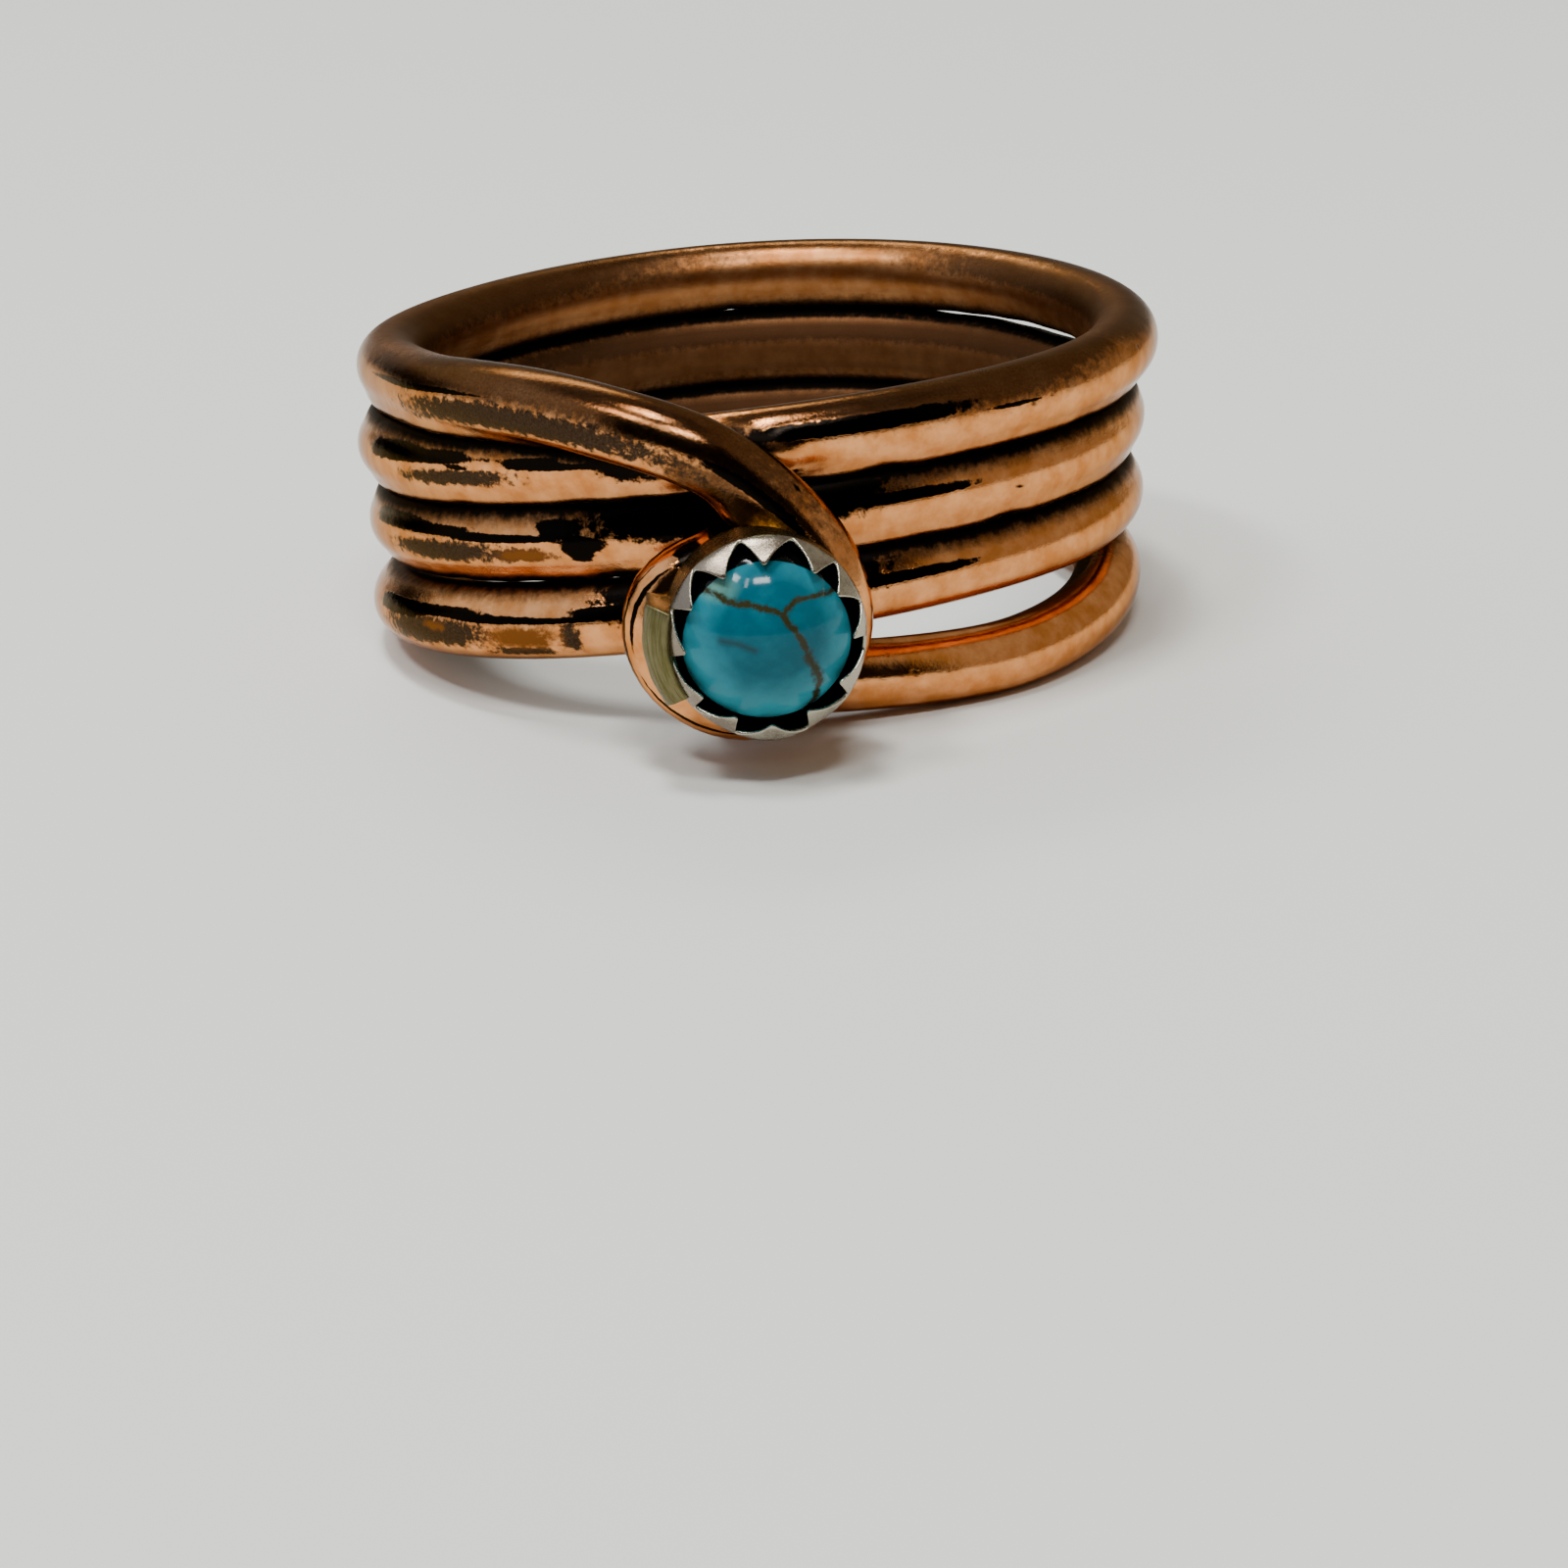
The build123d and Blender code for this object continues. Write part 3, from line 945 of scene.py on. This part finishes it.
class COILRING_OT_cup(bpy.types.Operator):
    """Makes the serrated bezel cup and the filed lap on its left side"""

    bl_idname = "coilring.cup"
    bl_label = "Make the bezel cup"

    def execute(self, context):
        wire = context.scene.coil_ring_wire
        cup = context.scene.coil_ring_cup
        stone = context.scene.coil_ring_stone
        points = smooth_line(wire_route(wire), wire.ring_step)
        ground = laid_down(wire, points) @ cup_frame(wire, cup)

        # The strip: rings up its outside, over the rim and down inside to the floor
        bm = bmesh.new()
        place = bm.verts.layers.float_vector.new("place")
        bright = bm.verts.layers.float.new("bright")
        wall = bm.verts.layers.float.new("wall")
        dark = bm.verts.layers.float.new("dark")
        bmesh.ops.create_circle(bm, radius=cup.cup_radius, segments=STRIP_SEGMENTS)
        bottom, edges = list(bm.verts), list(bm.edges)
        first_edges = edges
        for vertex in bottom:
            vertex[wall] = 1.0
            vertex[place] = vertex.co / MM
        floor_run = cup_floor(cup, stone) / (cup.wall_height - cup.notch_depth)
        rows = [(row / WALL_ROWS, 0) for row in range(1, WALL_ROWS + 1)]
        rows += [(1 + row / TOOTH_ROWS, 0) for row in range(1, TOOTH_ROWS + 1)]
        rows += [(2, row / RIM_ROWS) for row in range(1, RIM_ROWS + 1)]
        rows += [(2 - row / TOOTH_ROWS, 1) for row in range(1, TOOTH_ROWS + 1)]
        rows += [(1 - (1 - floor_run) * row / INNER_ROWS, 1) for row in range(1, INNER_ROWS + 1)]
        for run, depth in rows:
            outside = depth == 0
            ring, edges = ring_of(bmesh.ops.extrude_edge_only(bm, edges=edges))
            for vertex in ring:
                turn = atan2(vertex.co.y, vertex.co.x)
                angle = degrees(turn) % 360
                radius, height = strip_point(cup, angle, run, cup.cup_wall * depth)
                if run == 2 and 0 < depth < 1:
                    height += RIM_ROUNDING
                spot = Vector((cos(turn) * 2, sin(turn) * 2, height / MM))
                radius *= 1 + 0.010 * noise.noise(spot)
                vertex.co = Vector((radius * cos(turn), radius * sin(turn), height))
                vertex[place] = vertex.co / MM
                # the file brightened the rim and the teeth's edges; the teeth's outer faces are
                # also made brighter towards the cup's right and greyer towards its top
                vertex[bright] = 1 if run == 2 else 0
                if outside:
                    vertex[bright] = max(0, 0.6 - (2 - run) * 3.5)
                if outside and run > 1:
                    vertex[bright] += 0.7 * cos(turn) - 0.6 * max(sin(turn), 0)
                vertex[wall] = min(max(1.25 - run, 0) * 3, 1) if outside else 0
                # the inside of the wall is painted near black: shade in the cup, with some patina
                vertex[dark] = 1 if depth == 1 and run < 1.9 else 0
        bmesh.ops.edgeloop_fill(bm, edges=edges)
        bmesh.ops.edgeloop_fill(bm, edges=first_edges)
        # in the notches the tooth's rows fall together
        bmesh.ops.remove_doubles(bm, verts=bm.verts, dist=0.0001 * MM)
        bmesh.ops.transform(bm, matrix=ground, verts=bm.verts)
        finish_piece("bezel_cup", bm, "coil_ring", silver_material(cup))

        # The lap: a section swept round the wall's left side
        bm = bmesh.new()
        place = bm.verts.layers.float_vector.new("place")
        inner = cup.cup_radius - cup.cup_wall / 2
        section = [
            (inner, 0),
            (cup.cup_radius + cup.lap_base_width, 0),
            (cup.cup_radius + cup.lap_base_width * 1.15, 0.50 * cup.wall_height),
            (cup.cup_radius + cup.lap_base_width * 1.25, 0.75 * cup.wall_height),
            (cup.cup_radius + cup.lap_base_width * 0.9, 0.93 * cup.wall_height),
            (cup.cup_radius + cup.lap_rim_width * 0.5, cup.wall_height + cup.lap_rim_height),
            (inner, cup.wall_height - cup.cup_wall / 2),
        ]
        turn = radians(LAP_START)
        corners = [Vector((out * cos(turn), out * sin(turn), height)) for out, height in section]
        face = bm.faces.new([bm.verts.new(corner) for corner in corners])
        bmesh.ops.spin(
            bm,
            geom=[face],
            cent=(0, 0, 0),
            axis=(0, 0, 1),
            angle=radians(LAP_END - LAP_START),
            steps=LAP_STEPS,
            use_duplicate=False,
        )
        bmesh.ops.recalc_face_normals(bm, faces=bm.faces)
        bmesh.ops.bevel(
            bm,
            geom=[edge for edge in bm.edges if edge.calc_face_angle(0) > radians(35)],
            offset=LAP_EDGE,
            segments=2,
            profile=0.5,
            affect="EDGES",
            material=-1,
        )
        noise.seed_set(RUFFLE_SEED)
        for vertex in bm.verts:
            vertex.co += noise.noise_vector(vertex.co / MM * 2.6) * RUFFLE
            turn = atan2(vertex.co.y, vertex.co.x) % (2 * pi)
            vertex[place] = (
                (hypot(vertex.co.x, vertex.co.y) - vertex.co.z * 0.2) / MM,
                turn * cup.cup_radius / MM,
                vertex.co.z / MM,
            )
        bmesh.ops.transform(bm, matrix=ground, verts=bm.verts)
        finish_piece("bezel_lap", bm, "coil_ring", lap_material(cup))
        return {"FINISHED"}


def line_distance(point, line):
    """Distance from a point to a line of points in the plane."""
    best = 1e9
    for a, b in zip(line, line[1:]):
        ax, ay = b[0] - a[0], b[1] - a[1]
        share = ((point[0] - a[0]) * ax + (point[1] - a[1]) * ay) / (ax * ax + ay * ay)
        share = min(max(share, 0), 1)
        best = min(best, hypot(point[0] - a[0] - share * ax, point[1] - a[1] - share * ay))
    return best


def stone_material(stone):
    """Turquoise: cut as a cabochon and polished, with the host rock's veins left in.

    It is a dense, waxy, slightly cloudy blue, paler at its edge, under a glassy polish, with a
    painted soft reflection at its upper left and painted shade under the teeth."""
    material, tree = new_material("polished_turquoise")
    place = add(tree, "Attribute", attribute_name="place").outputs["Vector"]
    vein, dash, lime_sheen, pale, crevice_dirt_and_shade = (
        add(tree, "Attribute", attribute_name=name).outputs["Fac"] for name in STONE_MARKS
    )
    # clouds about 0.7 mm wide, and specks of 0.15 mm that fray the veins
    cloud = add(tree, "TexNoise", {"Vector": place, "Scale": 1.4, "Detail": 6, "Roughness": 0.6})
    fine = add(tree, "TexNoise", {"Vector": place, "Scale": 7, "Detail": 5, "Roughness": 0.7})
    share = add(tree, "Math", {0: cloud, 1: 0.5, 2: pale}, operation="MULTIPLY_ADD")
    share = add(tree, "MapRange", {"Value": share, "From Min": 0.25, "From Max": 1.25})
    # a painted soft reflection of the lamp at the left, pale greenish
    green = add(tree, "Math", {0: lime_sheen, 1: 0.6}, operation="MULTIPLY")
    # veins about 0.1 mm wide that thin out and thicken
    line = add(tree, "Math", {0: fine, 1: vein}, operation="ADD")
    line = add(
        tree,
        "MapRange",
        {"Value": line, "From Min": 0.95, "From Max": 1.40},
        interpolation_type="SMOOTHSTEP",
    )
    blur = add(tree, "Math", {0: dash, 1: 0.85}, operation="MULTIPLY")
    # dirt and painted shade under the teeth, near black
    rim = add(tree, "Math", {0: fine, 1: 0.25, 2: crevice_dirt_and_shade}, operation="MULTIPLY_ADD")
    rim = add(tree, "MapRange", {"Value": rim, "From Min": 0.55, "From Max": 0.75})
    colour = stone.turquoise
    for amount, over in (
        (share, stone.turquoise_pale),
        (green, stone.lime_sheen),
        (line, stone.matrix),
        (blur, linear("#12353A")),
        (rim, linear("#060606")),
    ):
        colour = add(tree, "Mix", {0: amount, 6: colour, 7: over}, data_type="RGBA")
    shader = add(
        tree,
        "BsdfPrincipled",
        {"Base Color": colour, "Roughness": 0.10, "IOR": 1.61, "Specular IOR Level": 0.13},
    )
    add(tree, "OutputMaterial", {"Surface": shader})
    return material


def stone_profile(cup, stone, radius):
    """Points from the axis out under the stone, up round its shoulder and over its dome."""
    edge = 0.05 * MM
    shoulder_steps, crown_steps = 18, 36
    seat = cup_floor(cup, stone) + stone.stone_gap
    girdle = cup.wall_height - stone.girdle_depth
    shoulder = stone.shoulder_radius
    dome = stone.dome_height
    middle = radius - shoulder
    crown = (middle**2 + dome**2 - shoulder**2) / (2 * (dome - shoulder))
    crown_low = girdle + dome - crown
    meet = atan2(crown - dome, middle)
    profile = [(0, seat), (radius * 0.5, seat), (radius - edge, seat), (radius, seat + edge)]
    for step in range(shoulder_steps + 1):
        turn = meet * step / shoulder_steps
        profile.append((middle + shoulder * cos(turn), girdle + shoulder * sin(turn)))
    for step in range(1, crown_steps):
        turn = meet + (pi / 2 - meet) * step / crown_steps
        profile.append((crown * cos(turn), crown_low + crown * sin(turn)))
    return profile + [(0, crown_low + crown)]


class COILRING_OT_stone(bpy.types.Operator):
    """Cuts the round domed stone"""

    bl_idname = "coilring.stone"
    bl_label = "Cut the stone"

    def execute(self, context):
        wire = context.scene.coil_ring_wire
        cup = context.scene.coil_ring_cup
        stone = context.scene.coil_ring_stone
        points = smooth_line(wire_route(wire), wire.ring_step)
        ground = laid_down(wire, points) @ cup_frame(wire, cup)
        radius = cup.cup_radius - cup.cup_wall - stone.stone_gap
        shoulder_top = cup.wall_height - stone.girdle_depth + 0.75 * stone.shoulder_radius
        profile = stone_profile(cup, stone, radius)
        bm = bmesh.new()
        verts = [bm.verts.new((out, 0, height)) for out, height in profile]
        edges = [bm.edges.new(pair) for pair in zip(verts, verts[1:])]
        bmesh.ops.spin(
            bm,
            geom=verts + edges,
            cent=(0, 0, 0),
            axis=(0, 0, 1),
            angle=2 * pi,
            steps=120,
            use_merge=True,
        )
        bmesh.ops.remove_doubles(bm, verts=bm.verts, dist=0.0005 * MM)
        place = bm.verts.layers.float_vector.new("place")
        layers = {name: bm.verts.layers.float.new(name) for name in STONE_MARKS}
        noise.seed_set(WAVER_SEED)
        for vertex in bm.verts:
            vertex[place] = vertex.co / MM
            waver = noise.noise_vector(vertex.co / MM * 2.2) * 0.035
            straight = vertex.co.xy / radius
            spot = straight + waver.xy
            value = 0.0
            for width, line in VEINS:
                value = max(value, 1 - line_distance(spot, line) * radius / MM / (3 * width))
            vertex[layers["vein"]] = value
            off = line_distance(straight, DASH) * radius / MM
            vertex[layers["dash"]] = max(0, 1 - off / DASH_HALF_WIDTH)
            # a pale greenish painted reflection of the lamp at the left, at the upper left; paler
            # blue towards the edge and below
            off = hypot(spot.x + 0.60, (spot.y - 0.60) * 1.6)
            vertex[layers["lime_sheen"]] = max(0, 1 - off / 0.30)
            pale = (spot.length - 0.50) * 1.2 - 0.3 * spot.y
            vertex[layers["pale"]] = min(max(pale, 0), 1)
            # dirt and painted shade where the shoulder goes in under the teeth; the shade reaches
            # further in at the top
            off = hypot(vertex.co.x, vertex.co.y + 0.16 * MM)
            beyond = (off - 1.93 * MM) / (0.12 * MM) if vertex.co.z < shoulder_top else 0
            vertex[layers["crevice_dirt_and_shade"]] = min(max(beyond, 0), 1)
        bmesh.ops.transform(bm, matrix=ground, verts=bm.verts)
        material = stone_material(stone)
        finish_piece("turquoise_cabochon", bm, "turquoise_stone", material)
        return {"FINISHED"}


class COILRING_OT_stage(bpy.types.Operator):
    """Sets the pale board, the soft light and the camera"""

    bl_idname = "coilring.stage"
    bl_label = "Set the stage"

    def execute(self, context):
        wire = context.scene.coil_ring_wire
        stage = context.scene.coil_ring_stage
        points = smooth_line(wire_route(wire), wire.ring_step)
        ground = laid_down(wire, points)

        # Camera: it looks at the coil's middle, turned so that this falls on its pixel
        height = stage.camera_angle
        spot = Vector((0, -cos(height), sin(height))) * stage.camera_distance
        across = stage.middle_right - IMAGE_SIDE / 2
        up = IMAGE_SIDE / 2 - stage.middle_down
        sight = Vector((across, up, -stage.focal_pixels))
        turned = sight.rotation_difference(Vector((0, 0, -1))).to_matrix().to_4x4()
        look = (-spot).to_track_quat("-Z", "Y").to_matrix().to_4x4()
        camera_data = bpy.data.cameras.new("camera")
        camera_data.sensor_width = SENSOR_WIDTH
        camera_data.lens = SENSOR_WIDTH * stage.focal_pixels / IMAGE_SIDE
        camera_data.clip_start = 5 * MM
        camera = bpy.data.objects.new("camera", camera_data)
        camera.matrix_world = ground @ Matrix.Translation(spot) @ look @ turned
        context.scene.collection.objects.link(camera)
        context.scene.camera = camera

        bm = bmesh.new()
        bmesh.ops.create_grid(bm, x_segments=8, y_segments=8, size=1.5)
        mesh = bpy.data.meshes.new("floor")
        bm.to_mesh(mesh)
        bm.free()
        floor = bpy.data.objects.new("floor", mesh)
        context.scene.collection.objects.link(floor)
        # Board: paper pulp, pressed flat and left uncoated, so it is matt and faintly
        # cloudy, in clouds about 110 mm wide
        material, tree = new_material("pale_matt_board")
        place = add(tree, "TexCoord").outputs["Object"]
        cloud = add(tree, "TexNoise", {"Vector": place, "Scale": 9, "Detail": 3})
        darker = linear("#D5D6D0")
        colour = add(tree, "Mix", {0: cloud, 6: stage.floor, 7: darker}, data_type="RGBA")
        shader = add(tree, "BsdfPrincipled", {"Base Color": colour, "Roughness": 0.7, "IOR": 1.4})
        add(tree, "OutputMaterial", {"Surface": shader})
        mesh.materials.append(material)

        # Lamps: one overhead, one low behind, a window with a tall pane in front, and one
        # high at the left. Each has its place and size in metres and its power in watts.
        for name, spot, size, power in (
            ("lamp_overhead", (-0.08, -0.05, 0.71), (0.18, 0.11), 3.15),
            ("lamp_back", (-0.12, 0.42, 0.40), (0.25, 0.12), 0.9),
            ("lamp_window", (0.04, -0.33, 0.53), (0.17, 0.065), 1.7),
            ("lamp_pane", (-0.12, -0.34, 0.51), (0.03, 0.110), 0.25),
            ("lamp_left", (-0.26, -0.20, 0.52), (0.20, 0.070), 1.7),
        ):
            lamp_data = bpy.data.lights.new(name, "AREA")
            lamp_data.shape = "RECTANGLE"
            lamp_data.size, lamp_data.size_y = size
            lamp_data.energy = power
            lamp = bpy.data.objects.new(name, lamp_data)
            aim = (-Vector(spot)).to_track_quat("-Z", "Y").to_matrix().to_4x4()
            lamp.matrix_world = Matrix.Translation(spot) @ aim
            context.scene.collection.objects.link(lamp)

        # Room: dark in front, bright at the right and behind, paler high on the left
        world = bpy.data.worlds.new("room")
        world.use_nodes = True
        tree = world.node_tree
        tree.nodes.clear()
        way = add(tree, "TexCoord").outputs["Generated"]
        across, _, height = add(tree, "SeparateXYZ", {0: way}).outputs
        level = add(tree, "VectorMath", {0: way, 1: Vector((1, 1, 0))}, operation="MULTIPLY")
        level = add(tree, "VectorMath", {0: level}, operation="NORMALIZE")
        # each part of the room: azimuth, half its width, lowest and highest Z, brightness.
        # It fades in over its sides and its lowest Z, and out over its highest
        light = 0.0
        for azimuth, half_width, low, high, strength in (
            (129, 82, -1.0, 0.92, 0.47),
            (-86, 28, -1.0, 0.76, 0.95),
            (-108, 46, 0.32, 0.80, 1.15),
            (0, 180, 0.86, 1.1, 0.20),
        ):
            facing = Vector((sin(radians(azimuth)), -cos(radians(azimuth)), 0))
            turned = add(tree, "VectorMath", {0: level, 1: facing}, operation="DOT_PRODUCT")
            edge = cos(radians(half_width))
            part = strength
            for value, limit, soft in (
                (turned, edge, 0.05),
                (height, low, 0.04),
                (height, high, -0.10),
            ):
                inside = add(
                    tree,
                    "MapRange",
                    {"Value": value, "From Min": limit - soft, "From Max": limit + soft},
                    interpolation_type="SMOOTHSTEP",
                )
                part = add(tree, "Math", {0: part, 1: inside}, operation="MULTIPLY")
            light = add(tree, "Math", {0: light, 1: part}, operation="MAXIMUM")
        light = add(tree, "Math", {0: light, 1: 0.012}, operation="ADD")
        # daylight at the left is cooler than the lamplight at the right
        side = add(tree, "MapRange", {"Value": across, "From Min": -0.5, "From Max": 0.5})
        cool, warm = linear("#E6F0FF"), linear("#F8EEDC")
        tint = add(tree, "Mix", {0: side, 6: cool, 7: warm}, data_type="RGBA")
        glow = add(tree, "Background", {"Color": tint, "Strength": light})
        add(tree, "OutputWorld", {"Surface": glow})
        context.scene.world = world
        return {"FINISHED"}


class COILRING_PT_panel(bpy.types.Panel):
    """Lists the ring's sizes and its pieces"""

    bl_idname = "COILRING_PT_panel"
    bl_label = "Coil ring"
    bl_space_type = "VIEW_3D"
    bl_region_type = "UI"
    bl_category = "Ring"

    def draw(self, context):
        layout = self.layout
        for group, operator in (
            (context.scene.coil_ring_wire, "coilring.wire"),
            (context.scene.coil_ring_cup, "coilring.cup"),
            (context.scene.coil_ring_stone, "coilring.stone"),
            (context.scene.coil_ring_stage, "coilring.stage"),
        ):
            box = layout.box()
            for name in group.__annotations__:
                box.prop(group, name)
            box.operator(operator)


SETTINGS = {
    "coil_ring_wire": WireSettings,
    "coil_ring_cup": CupSettings,
    "coil_ring_stone": StoneSettings,
    "coil_ring_stage": StageSettings,
}
OPERATORS = (COILRING_OT_wire, COILRING_OT_cup, COILRING_OT_stone, COILRING_OT_stage)


def register():
    for group in SETTINGS.values():
        bpy.utils.register_class(group)
    for name, group in SETTINGS.items():
        setattr(bpy.types.Scene, name, PointerProperty(type=group))
    for operator in OPERATORS:
        bpy.utils.register_class(operator)
    bpy.utils.register_class(COILRING_PT_panel)


def unregister():
    bpy.utils.unregister_class(COILRING_PT_panel)
    for operator in OPERATORS:
        bpy.utils.unregister_class(operator)
    for name, group in SETTINGS.items():
        delattr(bpy.types.Scene, name)
        bpy.utils.unregister_class(group)


def main():
    register()
    bpy.ops.coilring.wire()
    bpy.ops.coilring.cup()
    bpy.ops.coilring.stone()
    bpy.ops.coilring.stage()


if __name__ == "__main__":
    main()
